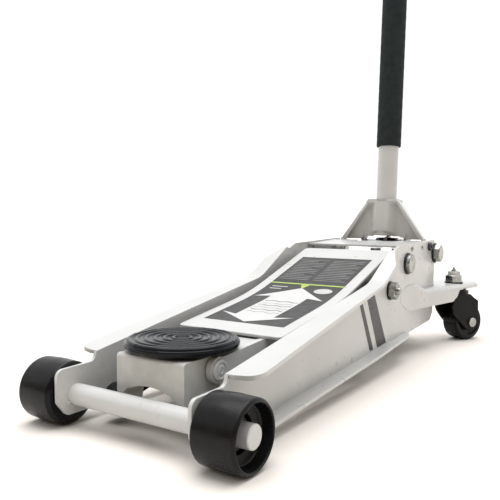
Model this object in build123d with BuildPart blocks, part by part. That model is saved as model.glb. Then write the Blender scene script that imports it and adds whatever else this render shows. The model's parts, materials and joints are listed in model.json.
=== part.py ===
from build123d import *

import os
from math import atan, cos, hypot, radians, sin

# Low-profile hydraulic floor jack, in millimetres.
# X is across the jack, the saddle end faces -Y, +Z is up and the wheels stand on Z = 0.
# Lengths along the jack are counted from the front axle, so every working plane below has
# its origin on the floor under the front axle, which itself stands at FRONT_AXLE_Y.

# ---------------------------------------------------------------- driving dimensions
FRONT_AXLE_Y = -377.57

WHEEL_R = 35.0            # front wheels
WHEEL_IN = 94.2           # inner and outer face of a front wheel
WHEEL_OUT = 144.5
AXLE_R = 11.75
RING_IN = 123.7           # retaining ring on the front axle
RING_OUT = 125.5
RING_GROOVE = 1.2         # depth of its groove

WEB_IN = 88.5             # inner face of a side plate
WEB_OUT = 92.5
TOP_FLANGE_X = 124.0      # outer edge of the top flange, at its front and at its rear
TOP_FLANGE_REAR_X = 112.0

ARM_PIVOT = (512.0, 151.0)
SADDLE_PIVOT = (66.0, 68.0)
LINK_REAR = (440.0, 115.5)
LINK_FRONT = (37.0, 25.0)
YOKE_PIVOT = (640.0, 161.5)
ROLLER = (658.0, 176.5)

ARM_IN = 48.0             # side plates of the lift arm
ARM_OUT = 55.0
COVER_HALF = 76.0         # half the width of the arm's cover plate
LINK_IN = 61.0            # levelling links, outside the arm
LINK_OUT = 69.0
SHAFT_R = 12.0
FIT = 0.05                # radial clearance of a running fit

LEVER_R = 66.0            # from the arm shaft to the ram pin
LEVER_SWING = 25.0        # degrees behind straight down when the jack is lowered
RAM_Z = 88.0
RAM_PIN_R = 7.0
SPRING_X = 40.0           # the two return springs

PUMP_X = 21.0             # the two pump plungers
PUMP_Y = 660.5
PLUNGER_R = 8.0

HANDLE_BASE = (655.0, 258.0)   # the handle's axis passes here
HANDLE_LEAN = 4.18             # degrees back from upright
TUBE_R = 18.0
FOAM_R = 22.0
FOAM_START = 94.0              # along the handle, from HANDLE_BASE
FOAM_END = 514.0
HANDLE_END = 940.0

CASTER_X = 109.0
CASTER_Y = 709.5
CASTER_TRAIL = 23.3
CASTER_TURN = -26.8            # degrees that the axle is turned from X
CASTER_R = 33.0
CASTER_HALF = 17.0             # half the width of a caster wheel
FORK_IN = 18.6                 # inner and outer face of a fork leg, from the wheel's middle
FORK_OUT = 22.4
FORK_TOP = 84.5
BRACKET_TOP = 104.0
BRACKET_START = 512.0          # where the bracket's wall leaves the side plate
BRACKET_FLARE = 0.19

SADDLE_Y = 72.7
SADDLE_R = 63.0
SADDLE_TOP = 95.8
STEM_R = 9.0
BLOCK_HALF = 46.5
BLOCK_TOP = 82.0

LOW = (Align.CENTER, Align.CENTER, Align.MIN)
ORIGIN = (0, FRONT_AXLE_Y, 0)
SIDE = Plane(origin=ORIGIN, x_dir=(0, 1, 0), z_dir=(1, 0, 0))     # seen from +X
PLAN = Plane(origin=ORIGIN)
ACROSS = Plane(origin=ORIGIN, x_dir=(1, 0, 0), z_dir=(0, -1, 0))  # seen from the front
lean = radians(HANDLE_LEAN)
HANDLE = Plane(
    origin=(0, FRONT_AXLE_Y + HANDLE_BASE[0], HANDLE_BASE[1]),
    x_dir=(1, 0, 0),
    z_dir=(0, sin(lean), cos(lean)),
)
CASTER = Plane(
    origin=(CASTER_X, FRONT_AXLE_Y + CASTER_Y, 0),
    x_dir=(cos(radians(CASTER_TURN)), sin(radians(CASTER_TURN)), 0),
)


# ---------------------------------------------------------------- helpers
def outline(plane, *points, radius=0):
    """A closed polygon on a plane, with its corners rounded."""
    with BuildSketch(plane) as sketch:
        with BuildLine():
            FilletPolyline(*points, radius=radius, close=True)
        make_face()
    return sketch.sketch


def strip(points, thickness, direction=-1):
    """The outline of a bent strip of sheet that lies under (-1) or over (1) a run of points."""
    other = []
    for i, (y, z) in enumerate(points):
        before = points[max(i - 1, 0)]
        after = points[min(i + 1, len(points) - 1)]
        normals = []
        for (a, b) in ((before, (y, z)), ((y, z), after)):
            length = hypot(b[0] - a[0], b[1] - a[1])
            if length:
                normals.append(((a[1] - b[1]) / length, (b[0] - a[0]) / length))
        ny = sum(n[0] for n in normals) / len(normals)
        nz = sum(n[1] for n in normals) / len(normals)
        reach = direction * thickness / (ny * ny + nz * nz)
        other.append((y + ny * reach, z + nz * reach))
    return points + other[::-1]


def bar(y, z, r, x0, x1, mode=Mode.ADD):
    """A round bar along X."""
    with Locations(Plane(origin=(x0, FRONT_AXLE_Y + y, z), z_dir=(1, 0, 0))):
        Cylinder(r, x1 - x0, align=LOW, mode=mode)


def rod(x, z, r, y0, y1, mode=Mode.ADD):
    """A round bar along Y."""
    with Locations(Plane(origin=(x, FRONT_AXLE_Y + y0, z), z_dir=(0, 1, 0))):
        Cylinder(r, y1 - y0, align=LOW, mode=mode)


def post(x, y, r, z0, z1, mode=Mode.ADD):
    """A round bar along Z."""
    with Locations((x, FRONT_AXLE_Y + y, z0)):
        Cylinder(r, z1 - z0, align=LOW, mode=mode)


def block(x0, x1, y0, y1, z0, z1, mode=Mode.ADD):
    """A box between two corners."""
    with Locations((x0, FRONT_AXLE_Y + y0, z0)):
        Box(x1 - x0, y1 - y0, z1 - z0, align=Align.MIN, mode=mode)


def hexagon_bar(y, z, across_flats, x0, x1):
    """A hexagonal head or nut along X."""
    plane = Plane(origin=(x0, FRONT_AXLE_Y + y, z), z_dir=(1, 0, 0))
    with BuildSketch(plane) as sketch:
        RegularPolygon(across_flats / 2, 6, major_radius=False)
    extrude(sketch.sketch, amount=x1 - x0)


def hexagon_post(x, y, across_flats, z0, z1):
    """A hexagonal head or nut along Z."""
    with BuildSketch(Plane(origin=(x, FRONT_AXLE_Y + y, z0))) as sketch:
        RegularPolygon(across_flats / 2, 6, major_radius=False)
    extrude(sketch.sketch, amount=z1 - z0)


def save(part, name):
    """Label a finished piece and write its file."""
    part.label = name
    export_step(part, f"parts/{name}.step")


def save_pair(right_part, name):
    """Write a right-hand piece and its mirror image."""
    save(right_part, f"{name}_right")
    save(mirror(right_part, about=Plane.YZ), f"{name}_left")


def both_sides(right_part):
    """A right-hand piece and its mirror image as one group of separate solids."""
    return Compound([*right_part.solids(), *mirror(right_part, about=Plane.YZ).solids()])


os.makedirs("parts", exist_ok=True)

# ---------------------------------------------------------------- frame: side plates
FLANGE_BEND = (368.5, 132.2)
FLANGE_END = (446.0, 175.1)
web_edge = [
    (-25.5, 30), (-13, 14.5), (60, 14.5), (507, 38.8), (628, 45.5), (641, 58),
    (650.5, 184.6), (476, 180.2), (455, 172.6), FLANGE_END, FLANGE_BEND,
    (30, 76.8), (26, 66), (-25.5, 65),
]
web_radii = [8, 8, 0, 0, 14, 14, 8, 6, 0, 0, 70, 3, 8, 9]
BOTTOM_SLOPE = (38.8 - 14.5) / (507 - 60)
bottom_plane = Plane(
    origin=(0, FRONT_AXLE_Y + 60, 14.5), x_dir=(1, 0, 0), z_dir=(0, -BOTTOM_SLOPE, 1)
)

with BuildPart() as top_flange:
    extrude(
        outline(
            SIDE.offset(WEB_IN),
            *strip([(30, 76.8), FLANGE_BEND, FLANGE_END], 4.5),
            radius=[0, 70, 0, 0, 74, 0],
        ),
        amount=TOP_FLANGE_X - WEB_IN,
    )
    extrude(
        outline(
            PLAN.offset(60),
            (WEB_IN, 28), (TOP_FLANGE_X, 36), (TOP_FLANGE_REAR_X, 345),
            (TOP_FLANGE_REAR_X, 412), (96, 447), (WEB_IN, 447),
            radius=[0, 17, 100, 8, 6, 0],
        ),
        amount=130,
        mode=Mode.INTERSECT,
    )

with BuildPart() as side_plate:
    extrude(outline(SIDE.offset(WEB_IN), *web_edge, radius=web_radii), amount=WEB_OUT - WEB_IN)
    add(top_flange.part)
    extrude(
        outline(
            bottom_plane,
            (WEB_IN, -10), (100, -10), (114.5, 8), (110.5, 295), (105, 430), (99, 447),
            (WEB_IN, 447),
            radius=[0, 6, 10, 0, 4, 4, 0],
        ),
        amount=4,
    )
    bar(*YOKE_PIVOT, 19, WEB_OUT, WEB_OUT + 2)
    bar(0, WHEEL_R, AXLE_R, WEB_IN - 1, WEB_OUT + 1, mode=Mode.SUBTRACT)
    bar(*ARM_PIVOT, SHAFT_R, WEB_IN - 1, WEB_OUT + 1, mode=Mode.SUBTRACT)
    bar(*LINK_REAR, 6, WEB_IN - 1, WEB_OUT + 1, mode=Mode.SUBTRACT)
    bar(*YOKE_PIVOT, 8, WEB_IN - 1, WEB_OUT + 3, mode=Mode.SUBTRACT)
    for y, z, r in ((533, 173.3, 2.5), (582, 173.3, 2.5), (616, 173.6, 4)):
        bar(y, z, r, WEB_IN - 1, WEB_OUT + 1, mode=Mode.SUBTRACT)
save_pair(side_plate.part, "side_plate")

# ---------------------------------------------------------------- frame: axle and cross pieces
with BuildPart() as front_axle:
    bar(0, WHEEL_R, AXLE_R, -143, 143)
    chamfer(front_axle.edges().filter_by(GeomType.CIRCLE), 1)
    for x0 in (-RING_OUT, RING_IN):
        with BuildSketch(SIDE.offset(x0)):
            with Locations((0, WHEEL_R)):
                Circle(AXLE_R + 1)
                Circle(AXLE_R - RING_GROOVE, mode=Mode.SUBTRACT)
        extrude(amount=RING_OUT - RING_IN, mode=Mode.SUBTRACT)
save(front_axle.part, "front_axle")

with BuildPart() as axle_rings:
    bar(0, WHEEL_R, AXLE_R + 3.2, RING_IN, RING_OUT)
    bar(0, WHEEL_R, AXLE_R - RING_GROOVE, RING_IN, RING_OUT, mode=Mode.SUBTRACT)
    block(RING_IN, RING_OUT, -3, 3, WHEEL_R, WHEEL_R + 20, mode=Mode.SUBTRACT)

with BuildPart() as cross_member:
    block(-WEB_IN, WEB_IN, 330, 375, 36, 41)
    for y0 in (330, 370):
        block(-WEB_IN, WEB_IN, y0, y0 + 5, 41, 58)
    fillet(cross_member.edges().filter_by(Axis.X).group_by(Axis.Z)[0], 4)
save(cross_member.part, "cross_member")

with BuildPart() as base_plate:
    block(-WEB_IN, WEB_IN, 575, 638, 48, 54)
    for x in (-36, 36):
        for y in (590, 625):
            post(x, y, 5, 47, 55, mode=Mode.SUBTRACT)
save(base_plate.part, "base_plate")

with BuildPart() as mount_bolts:
    for y in (590, 625):
        hexagon_post(36, y, 17, 41, 48)
        post(36, y, 5, 48, 66)
save(both_sides(mount_bolts.part), "pump_mount_bolts")

# The rear cover is a sheet between the side plates, with lips down their inner faces.
COVER_FRONT = (520.0, 178.3)
COVER_REAR = (622.0, 182.4)
with BuildPart() as rear_cover:
    extrude(
        outline(SIDE.offset(-88), *strip([COVER_FRONT, COVER_REAR], 3)), amount=176
    )
    for x0 in (-88, 85.5):
        extrude(
            outline(SIDE.offset(x0), (522, 177), (621, 181), (621, 166), (612, 162), (534, 162),
                    (522, 168), radius=[0, 0, 4, 4, 4, 4]),
            amount=2.5,
        )
    with BuildSketch(PLAN.offset(150)):
        for x in (-64, 64):
            with Locations((x, 609)):
                SlotOverall(30, 7)
        with Locations((0, 616)):
            RectangleRounded(84, 26, 8)
    extrude(amount=60, mode=Mode.SUBTRACT)
    for y, z, r in ((533, 173.3, 2.5), (582, 173.3, 2.5), (616, 173.6, 4)):
        bar(y, z, r, -100, 100, mode=Mode.SUBTRACT)
save(rear_cover.part, "rear_cover")

with BuildPart() as cover_rivets:
    for y in (533, 582):
        bar(y, 173.3, 2.5, 84, WEB_OUT)
        with Locations(Plane(origin=(WEB_OUT, FRONT_AXLE_Y + y, 173.3), z_dir=(1, 0, 0))):
            Cone(4.2, 2.6, 2, align=LOW)
save(both_sides(cover_rivets.part), "cover_rivets")

with BuildPart() as cover_screws:
    bar(616, 173.6, 4, 80, WEB_OUT)
    bar(616, 173.6, 7, WEB_OUT, WEB_OUT + 5)
    fillet(cover_screws.edges().filter_by(GeomType.CIRCLE).sort_by(Axis.X)[-1], 1)
    with BuildSketch(Plane(origin=(WEB_OUT + 2, FRONT_AXLE_Y + 616, 173.6), z_dir=(1, 0, 0))):
        RegularPolygon(3, 6, major_radius=False)
    extrude(amount=4, mode=Mode.SUBTRACT)
save(both_sides(cover_screws.part), "cover_screws")

# ---------------------------------------------------------------- frame: pivot hardware
with BuildPart() as arm_shaft:
    bar(*ARM_PIVOT, SHAFT_R, -95.5, 95.5)
save(arm_shaft.part, "arm_shaft")

with BuildPart() as shaft_caps:
    bar(*ARM_PIVOT, 15, 95.5, 101)
    fillet(shaft_caps.edges().filter_by(GeomType.CIRCLE).sort_by(Axis.X)[-1], 1.8)
save(both_sides(shaft_caps.part), "arm_shaft_caps")

with BuildPart() as shaft_ring:
    bar(*ARM_PIVOT, 17, WEB_OUT, 95.5)
    bar(*ARM_PIVOT, SHAFT_R, WEB_OUT, 95.5, mode=Mode.SUBTRACT)
save(both_sides(Compound([shaft_ring.part, axle_rings.part])), "retaining_rings")

with BuildPart() as link_bolts:
    hexagon_bar(*LINK_REAR, 22, ARM_OUT + 1, LINK_IN - 0.5)
    bar(*LINK_REAR, 6, LINK_IN - 0.5, 109)
    chamfer(link_bolts.edges().filter_by(GeomType.CIRCLE).sort_by(Axis.X)[-1], 1.5)
with BuildPart() as link_nuts:
    hexagon_bar(*LINK_REAR, 23, 94.7, 104)
    bar(*LINK_REAR, 6, 94, 105, mode=Mode.SUBTRACT)
save(both_sides(link_nuts.part), "link_pivot_nuts")

with BuildPart() as yoke_bolts:
    bar(*YOKE_PIVOT, 8, 72, 97)
    hexagon_bar(*YOKE_PIVOT, 27, 97, 108)
save(both_sides(Compound([link_bolts.part, yoke_bolts.part])), "pivot_bolts")

with BuildPart() as pivot_spacers:
    bar(*LINK_REAR, 10, LINK_OUT + 0.5, WEB_IN)
    bar(*LINK_REAR, 6, LINK_OUT, WEB_IN, mode=Mode.SUBTRACT)
    bar(*YOKE_PIVOT, 13, 78.4, WEB_IN)
    bar(*YOKE_PIVOT, 8, 78, WEB_IN, mode=Mode.SUBTRACT)
save(both_sides(pivot_spacers.part), "pivot_spacers")

with BuildPart() as washers:
    bar(*LINK_REAR, 14, WEB_OUT, 94.7)
    bar(*LINK_REAR, 6, WEB_OUT, 94.7, mode=Mode.SUBTRACT)
    bar(*YOKE_PIVOT, 17, WEB_OUT + 2, 97)
    bar(*YOKE_PIVOT, 8, WEB_OUT + 2, 97, mode=Mode.SUBTRACT)
    post(CASTER_X, CASTER_Y, 16, BRACKET_TOP, BRACKET_TOP + 2)
    post(CASTER_X, CASTER_Y, 8, BRACKET_TOP, BRACKET_TOP + 2, mode=Mode.SUBTRACT)
save(both_sides(washers.part), "flat_washers")

# ---------------------------------------------------------------- frame: caster brackets
# The outer wall flares away from the side plate, and its rear end is cut away above the fork.
wall_angle = atan(BRACKET_FLARE)
wall_plane = Plane(
    origin=(WEB_OUT, FRONT_AXLE_Y + BRACKET_START, 0),
    x_dir=(sin(wall_angle), cos(wall_angle), 0),
    z_dir=(cos(wall_angle), -sin(wall_angle), 0),
)


def wall_x(y):
    """The outer face of the bracket's wall, in plan."""
    return WEB_OUT + BRACKET_FLARE * (y - BRACKET_START)


with BuildPart() as caster_bracket:
    extrude(
        outline(
            wall_plane,
            (4, 82), (14, 75), (157, 76), (166, 80), (180, 96), (232, 98), (240, BRACKET_TOP),
            (70, BRACKET_TOP), (36, 118), (4, 118),
            radius=[4, 6, 8, 8, 5, 2, 0, 24, 12, 0],
        ),
        amount=-5,
    )
    extrude(
        outline(
            PLAN.offset(BRACKET_TOP - 5),
            (WEB_OUT, 535), (wall_x(535), 535), (wall_x(752), 752), (134, 786), (112, 792),
            (70, 742), (70, 652), (WEB_OUT, 652),
            radius=[0, 0, 20, 10, 14, 20, 0, 0],
        ),
        amount=5,
    )
    block(80, WEB_OUT, 500, 651.5, 60, 130, mode=Mode.SUBTRACT)
    post(CASTER_X, CASTER_Y, 8, 90, 110, mode=Mode.SUBTRACT)
save(both_sides(caster_bracket.part), "caster_brackets")

# ---------------------------------------------------------------- frame: hydraulic unit
with BuildPart() as pump_block:
    block(-48, 48, 614, 688, 54, 122)
    fillet(pump_block.edges().filter_by(Axis.Z), 6)
    block(-34, 34, 580, 616, 100, 122)
    rod(0, RAM_Z, 34, 560, 614, mode=Mode.SUBTRACT)
    rod(0, RAM_Z, 28, 613, 646, mode=Mode.SUBTRACT)
    for x in (-PUMP_X, PUMP_X):
        post(x, PUMP_Y, PLUNGER_R + FIT, 60, 123, mode=Mode.SUBTRACT)
    for x in (-36, 36):
        post(x, 625, 5, 53, 66, mode=Mode.SUBTRACT)
    post(0, 678, 7 + FIT, 84, 123, mode=Mode.SUBTRACT)
save(pump_block.part, "pump_block")

with BuildPart() as ram_cylinder:
    rod(0, RAM_Z, 28, 578, 646)
    rod(0, RAM_Z, 23, 578, 646, mode=Mode.SUBTRACT)
save(ram_cylinder.part, "ram_cylinder")

with BuildPart() as reservoir:
    rod(0, RAM_Z, 34, 578, 614)
    rod(0, RAM_Z, 31.5, 578, 614, mode=Mode.SUBTRACT)
save(reservoir.part, "oil_reservoir")

with BuildPart() as gland:
    rod(0, RAM_Z, 34, 568, 578)
    chamfer(gland.edges().filter_by(GeomType.CIRCLE).sort_by(Axis.Y)[0], 2)
    rod(0, RAM_Z, 12.3, 568, 578, mode=Mode.SUBTRACT)
save(gland.part, "gland_nut")

with BuildPart() as plugs:
    hexagon_post(0, 590, 14, 122, 127)
    for side in (-1, 1):
        for z in (75, 100):
            hexagon_bar(650, z, 15, min(side * 48, side * 53), max(side * 48, side * 53))
save(plugs.part, "hydraulic_plugs")

# ---------------------------------------------------------------- release valve and plungers
with BuildPart() as release_valve:
    post(0, 678, 7, 88, 124)
    post(0, 678, 10, 124, 132)
    block(-2, 2, 667, 689, 129, 133, mode=Mode.SUBTRACT)
save(release_valve.part, "release_valve_stem")

PLUNGER_TOP = ROLLER[1] - 9.5 - 0.8
with BuildPart() as plungers:
    for x in (-PUMP_X, PUMP_X):
        post(x, PUMP_Y, PLUNGER_R, 92, PLUNGER_TOP - 5)
        post(x, PUMP_Y, 12, PLUNGER_TOP - 5, PLUNGER_TOP)
save(plungers.part, "pump_plungers")

with BuildPart() as pump_springs:
    for x in (-PUMP_X, PUMP_X):
        post(x, PUMP_Y, 11.5, 122, PLUNGER_TOP - 5)
        post(x, PUMP_Y, 9, 122, PLUNGER_TOP - 5, mode=Mode.SUBTRACT)
save(pump_springs.part, "pump_springs")

# ---------------------------------------------------------------- ram
pin_y = ARM_PIVOT[0] + LEVER_R * sin(radians(LEVER_SWING))
pin_z = ARM_PIVOT[1] - LEVER_R * cos(radians(LEVER_SWING))
with BuildPart() as ram_rod:
    rod(0, RAM_Z, SHAFT_R, 566, 636)
    rod(0, RAM_Z, 17, 559, 567)
    for x0 in (-22, 15):
        extrude(
            outline(SIDE.offset(x0), (pin_y - 14, 72), (567, 72), (567, 104), (pin_y - 14, 104),
                    radius=[8, 0, 0, 8]),
            amount=7,
        )
        with BuildSketch(SIDE.offset(x0)):
            with Locations((pin_y, RAM_Z)):
                RectangleRounded(2 * RAM_PIN_R + 1.6, 25, RAM_PIN_R + 0.7)
        extrude(amount=7, mode=Mode.SUBTRACT)
    block(-16, 16, 559, 567, 72, 104)
save(ram_rod.part, "ram_rod")

# Two tension springs pull the lever pin back towards the pump block.
with BuildPart() as return_spring:
    rod(SPRING_X, RAM_Z, 5.5, pin_y + 7, 614)
    rod(SPRING_X, RAM_Z, 3.5, pin_y + 7, 614, mode=Mode.SUBTRACT)
save(both_sides(return_spring.part), "return_springs")

with BuildPart() as ram_piston:
    rod(0, RAM_Z, 22.6, 636, 639)
    rod(0, RAM_Z, 21, 639, 642)
    rod(0, RAM_Z, 22.6, 642, 645)
save(ram_piston.part, "ram_piston")

# ---------------------------------------------------------------- lift arm
ARM_BEND = (312.5, 113.5)
ARM_BEND_R = 520.0
ARM_REAR = (489.0, 172.0)
ARM_FRONT = (154.0, 89.7)
with BuildPart() as arm_cover:
    extrude(
        outline(
            SIDE.offset(-COVER_HALF),
            *strip([ARM_FRONT, ARM_BEND, ARM_REAR], 4),
            radius=[0, ARM_BEND_R, 0, 0, ARM_BEND_R + 4, 0],
        ),
        amount=2 * COVER_HALF,
    )
    corners = arm_cover.edges().filter_by(lambda e: abs(e.length - 4) < 0.1)
    fillet(corners, 7)
save(arm_cover.part, "arm_cover")

# The side plates reach from the saddle pivot back round the arm shaft, just under the cover.
under_cover = strip([ARM_FRONT, ARM_BEND, (492, 173)], 4.2)[3:]
with BuildPart() as arm_side:
    extrude(
        outline(
            SIDE.offset(ARM_IN),
            (52, 66), (60, 79.6), (150, 86.2), (154.6, 85.4), *under_cover[::-1][1:],
            (528, 158), (524, 136), (470, 112), (300, 78), (110, 50), (60, 54),
            radius=[8, 10, 0, 0, ARM_BEND_R + 4.2, 0, 12, 12, 20, 60, 30, 10],
        ),
        amount=ARM_OUT - ARM_IN,
    )
    bar(*SADDLE_PIVOT, 14, ARM_IN, ARM_OUT)
    bar(*SADDLE_PIVOT, 8, ARM_IN - 1, ARM_OUT + 1, mode=Mode.SUBTRACT)
    bar(*ARM_PIVOT, SHAFT_R + FIT, ARM_IN - 1, ARM_OUT + 1, mode=Mode.SUBTRACT)
save(both_sides(arm_side.part), "arm_sides")

with BuildPart() as arm_webs:
    for top in ([(94, 79.0), (152, 84.6)], [(200, 66), (330, 90)]):
        extrude(outline(SIDE.offset(-ARM_IN), *strip(top, 5)), amount=2 * ARM_IN)
save(arm_webs.part, "arm_cross_plates")

lever_lean = radians(LEVER_SWING)
lever_plane = Plane(
    origin=(0, FRONT_AXLE_Y + ARM_PIVOT[0], ARM_PIVOT[1]),
    x_dir=(0, sin(lever_lean), -cos(lever_lean)),
    z_dir=(1, 0, 0),
)
with BuildPart() as arm_lever:
    bar(*ARM_PIVOT, 18, -ARM_IN, ARM_IN)
    extrude(
        outline(
            lever_plane.offset(-14),
            (0, -16), (40, -10.5), (52, -10.5), (60, -12), (LEVER_R + 11, -12),
            (LEVER_R + 11, 12), (60, 12), (52, 10.5), (40, 10.5), (0, 16),
            radius=[0, 20, 6, 6, 9, 9, 6, 6, 20, 0],
        ),
        amount=28,
    )
    bar(*ARM_PIVOT, SHAFT_R + 0.3, -ARM_IN - 1, ARM_IN + 1, mode=Mode.SUBTRACT)
    bar(pin_y, pin_z, RAM_PIN_R, -15, 15, mode=Mode.SUBTRACT)
save(arm_lever.part, "arm_lever")

with BuildPart() as lever_pin:
    bar(pin_y, pin_z, RAM_PIN_R, -24, 24)
    bar(pin_y, pin_z, 4, -SPRING_X - 4, SPRING_X + 4)
save(lever_pin.part, "lever_pin")

with BuildPart() as saddle_pins:
    bar(*SADDLE_PIVOT, 8, 20.5, ARM_OUT)
    bar(*SADDLE_PIVOT, 11.5, ARM_OUT, ARM_OUT + 3.5)
    fillet(saddle_pins.edges().filter_by(GeomType.CIRCLE).sort_by(Axis.X)[-1], 1.2)
save(both_sides(saddle_pins.part), "saddle_pivot_pins")

# ---------------------------------------------------------------- saddle block and saddle
with BuildPart() as saddle_block:
    extrude(
        outline(
            SIDE.offset(-BLOCK_HALF),
            (19.6, 39), (19.6, BLOCK_TOP), (86, BLOCK_TOP), (87, 54), (70, 43), (60, 39),
            radius=[2, 4, 12, 12, 6, 0],
        ),
        amount=2 * BLOCK_HALF,
    )
    for x0 in (-BLOCK_HALF, BLOCK_HALF - 8.5):
        extrude(
            outline(
                SIDE.offset(x0),
                (24, 42), (52, 42), (LINK_FRONT[0] + 12, 25), (LINK_FRONT[0], 13),
                (LINK_FRONT[0] - 12, 25),
                radius=[0, 0, 6, 10, 6],
            ),
            amount=8.5,
        )
    with BuildSketch(ACROSS.offset(-15)):
        with BuildLine():
            Polyline((38, 20), (38, 40), (32, 45.5), (14, 51), (0, 52), (-14, 51), (-32, 45.5),
                     (-38, 40), (-38, 20), close=True)
        make_face()
    extrude(amount=-80, mode=Mode.SUBTRACT)
    for x0 in (-50, 20):
        bar(*SADDLE_PIVOT, 8 + FIT, x0, x0 + 30, mode=Mode.SUBTRACT)
    bar(*LINK_FRONT, 6, -60, 60, mode=Mode.SUBTRACT)
    post(0, SADDLE_Y, STEM_R + FIT, 50, 90, mode=Mode.SUBTRACT)
save(saddle_block.part, "saddle_block")

with BuildPart() as link_pins:
    bar(*LINK_FRONT, 6, 40, LINK_OUT + 1)
    bar(*LINK_FRONT, 11, LINK_OUT + 1, LINK_OUT + 4)
save(both_sides(link_pins.part), "link_front_pins")

with BuildPart() as saddle_dish:
    post(0, SADDLE_Y, STEM_R, 47, BLOCK_TOP + 0.3)
    post(0, SADDLE_Y, 34, BLOCK_TOP + 0.3, 85)
    post(0, SADDLE_Y, 57, 85, 88)
save(saddle_dish.part, "saddle_dish")

with BuildPart() as saddle_clip:
    post(0, SADDLE_Y, 13, 49, 50.5)
    post(0, SADDLE_Y, STEM_R, 49, 50.5, mode=Mode.SUBTRACT)
save(saddle_clip.part, "saddle_circlip")

pad_plane = Plane(
    origin=(0, FRONT_AXLE_Y + SADDLE_Y, 0), x_dir=(1, 0, 0), z_dir=(0, -1, 0)
)
pad_axis = Axis((0, FRONT_AXLE_Y + SADDLE_Y, 0), (0, 0, 1))
with BuildPart() as saddle_pad:
    with BuildSketch(pad_plane):
        with BuildLine():
            Polyline((0, 88), (57.3, 88), (57.3, 85.2), (60, 85.2), (SADDLE_R, 88),
                     (SADDLE_R, 91.5), (61, 92.5), (59.5, SADDLE_TOP), (0, SADDLE_TOP),
                     close=True)
        make_face()
    revolve(axis=pad_axis)
    with BuildSketch(PLAN.offset(SADDLE_TOP - 1.6)):
        for r in (52, 42, 32, 22):
            with Locations((0, SADDLE_Y)):
                Circle(r)
                Circle(r - 4, mode=Mode.SUBTRACT)
    extrude(amount=4, mode=Mode.SUBTRACT)
save(saddle_pad.part, "saddle_pad")

# ---------------------------------------------------------------- levelling links
link_length = hypot(LINK_REAR[0] - LINK_FRONT[0], LINK_REAR[1] - LINK_FRONT[1])
link_dir = (
    (LINK_REAR[0] - LINK_FRONT[0]) / link_length,
    (LINK_REAR[1] - LINK_FRONT[1]) / link_length,
)
link_plane = Plane(
    origin=(0, FRONT_AXLE_Y + LINK_FRONT[0], LINK_FRONT[1]),
    x_dir=(0, link_dir[0], link_dir[1]),
    z_dir=(1, 0, 0),
)
with BuildPart() as link:
    extrude(
        outline(link_plane.offset(LINK_IN), (0, -9), (link_length, -9), (link_length, 9), (0, 9)),
        amount=LINK_OUT - LINK_IN,
    )
    bar(*LINK_REAR, 14, LINK_IN, LINK_OUT)
    bar(*LINK_FRONT, 18, 47.5, LINK_OUT)
    bar(*LINK_REAR, 6 + FIT, LINK_IN - 1, LINK_OUT + 1, mode=Mode.SUBTRACT)
    with BuildSketch(link_plane.offset(40)):
        with Locations((0.2, 0)):
            SlotOverall(22, 14.4)
    extrude(amount=40, mode=Mode.SUBTRACT)
save(both_sides(link.part), "levelling_links")

# ---------------------------------------------------------------- handle yoke
FACE = Plane(
    origin=HANDLE.origin, x_dir=(1, 0, 0), z_dir=(0, -cos(lean), sin(lean))
)
YOKE_LOW = -75.0
YOKE_HIGH = -3.0
YOKE_WIDE = 78.0
YOKE_NARROW = 26.0
with BuildPart() as yoke:
    tray = [(-YOKE_WIDE, YOKE_LOW), (YOKE_WIDE, YOKE_LOW), (YOKE_NARROW, YOKE_HIGH),
            (-YOKE_NARROW, YOKE_HIGH)]
    hollow = [(-YOKE_WIDE + 5, YOKE_LOW - 4), (YOKE_WIDE - 5, YOKE_LOW - 4),
              (YOKE_NARROW - 2, YOKE_HIGH - 4), (-YOKE_NARROW + 2, YOKE_HIGH - 4)]
    extrude(outline(FACE.offset(4), *tray, radius=[0, 0, 8, 8]), amount=14)
    extrude(
        outline(FACE.offset(8), *hollow, radius=[0, 0, 5, 5]), amount=20, mode=Mode.SUBTRACT
    )
    extrude(
        outline(FACE, (-40, YOKE_LOW - 5), (40, YOKE_LOW - 5), (36, YOKE_LOW + 8),
                (-36, YOKE_LOW + 8), radius=[0, 0, 6, 6]),
        amount=30,
        mode=Mode.SUBTRACT,
    )
    with BuildSketch(HANDLE.offset(YOKE_HIGH - 4)):
        RectangleRounded(2 * YOKE_NARROW, 44, 10)
    extrude(amount=4)
    with BuildSketch(HANDLE.offset(-68)):
        Circle(21.5)
    extrude(amount=68 + YOKE_HIGH)
    with BuildSketch(HANDLE.offset(-80)):
        Circle(TUBE_R + 0.3)
    extrude(amount=90, mode=Mode.SUBTRACT)
    for x0 in (-78, 74):
        extrude(
            outline(SIDE.offset(x0), (629, 186), (646, 186), (655, 161.5), (625, 161.5)),
            amount=4,
        )
        bar(*YOKE_PIVOT, 15, x0, x0 + 4)
    for x0 in (-43, 39):
        extrude(
            outline(
                SIDE.offset(x0),
                (639, 186), (640, 194), (662, 194), (667, 176), (658, 167.5), (649, 172),
                radius=[0, 0, 4, 8, 8, 4],
            ),
            amount=4,
        )
    extrude(
        outline(
            SIDE.offset(-3),
            (650, 176), (652, 186), (666, 188), (668, 204), (672, 204), (673, 186),
            (667, 172), (658, 168),
            radius=[6, 0, 0, 0, 0, 8, 8, 6],
        ),
        amount=6,
    )
    with BuildSketch(HANDLE.offset(-67)):
        Circle(TUBE_R + 0.3)
    extrude(amount=20, mode=Mode.SUBTRACT)
    bar(*ROLLER, 5, -50, 50, mode=Mode.SUBTRACT)
    bar(*YOKE_PIVOT, 8 + FIT, -90, 90, mode=Mode.SUBTRACT)
save(yoke.part, "handle_yoke")

with BuildPart() as roller_pin:
    bar(*ROLLER, 5, -45, 45)
save(roller_pin.part, "roller_pin")

with BuildPart() as rollers:
    bar(*ROLLER, 9.5, 3.5, 38.5)
    bar(*ROLLER, 5 + FIT, 3, 39, mode=Mode.SUBTRACT)
save(both_sides(rollers.part), "pump_rollers")

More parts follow.
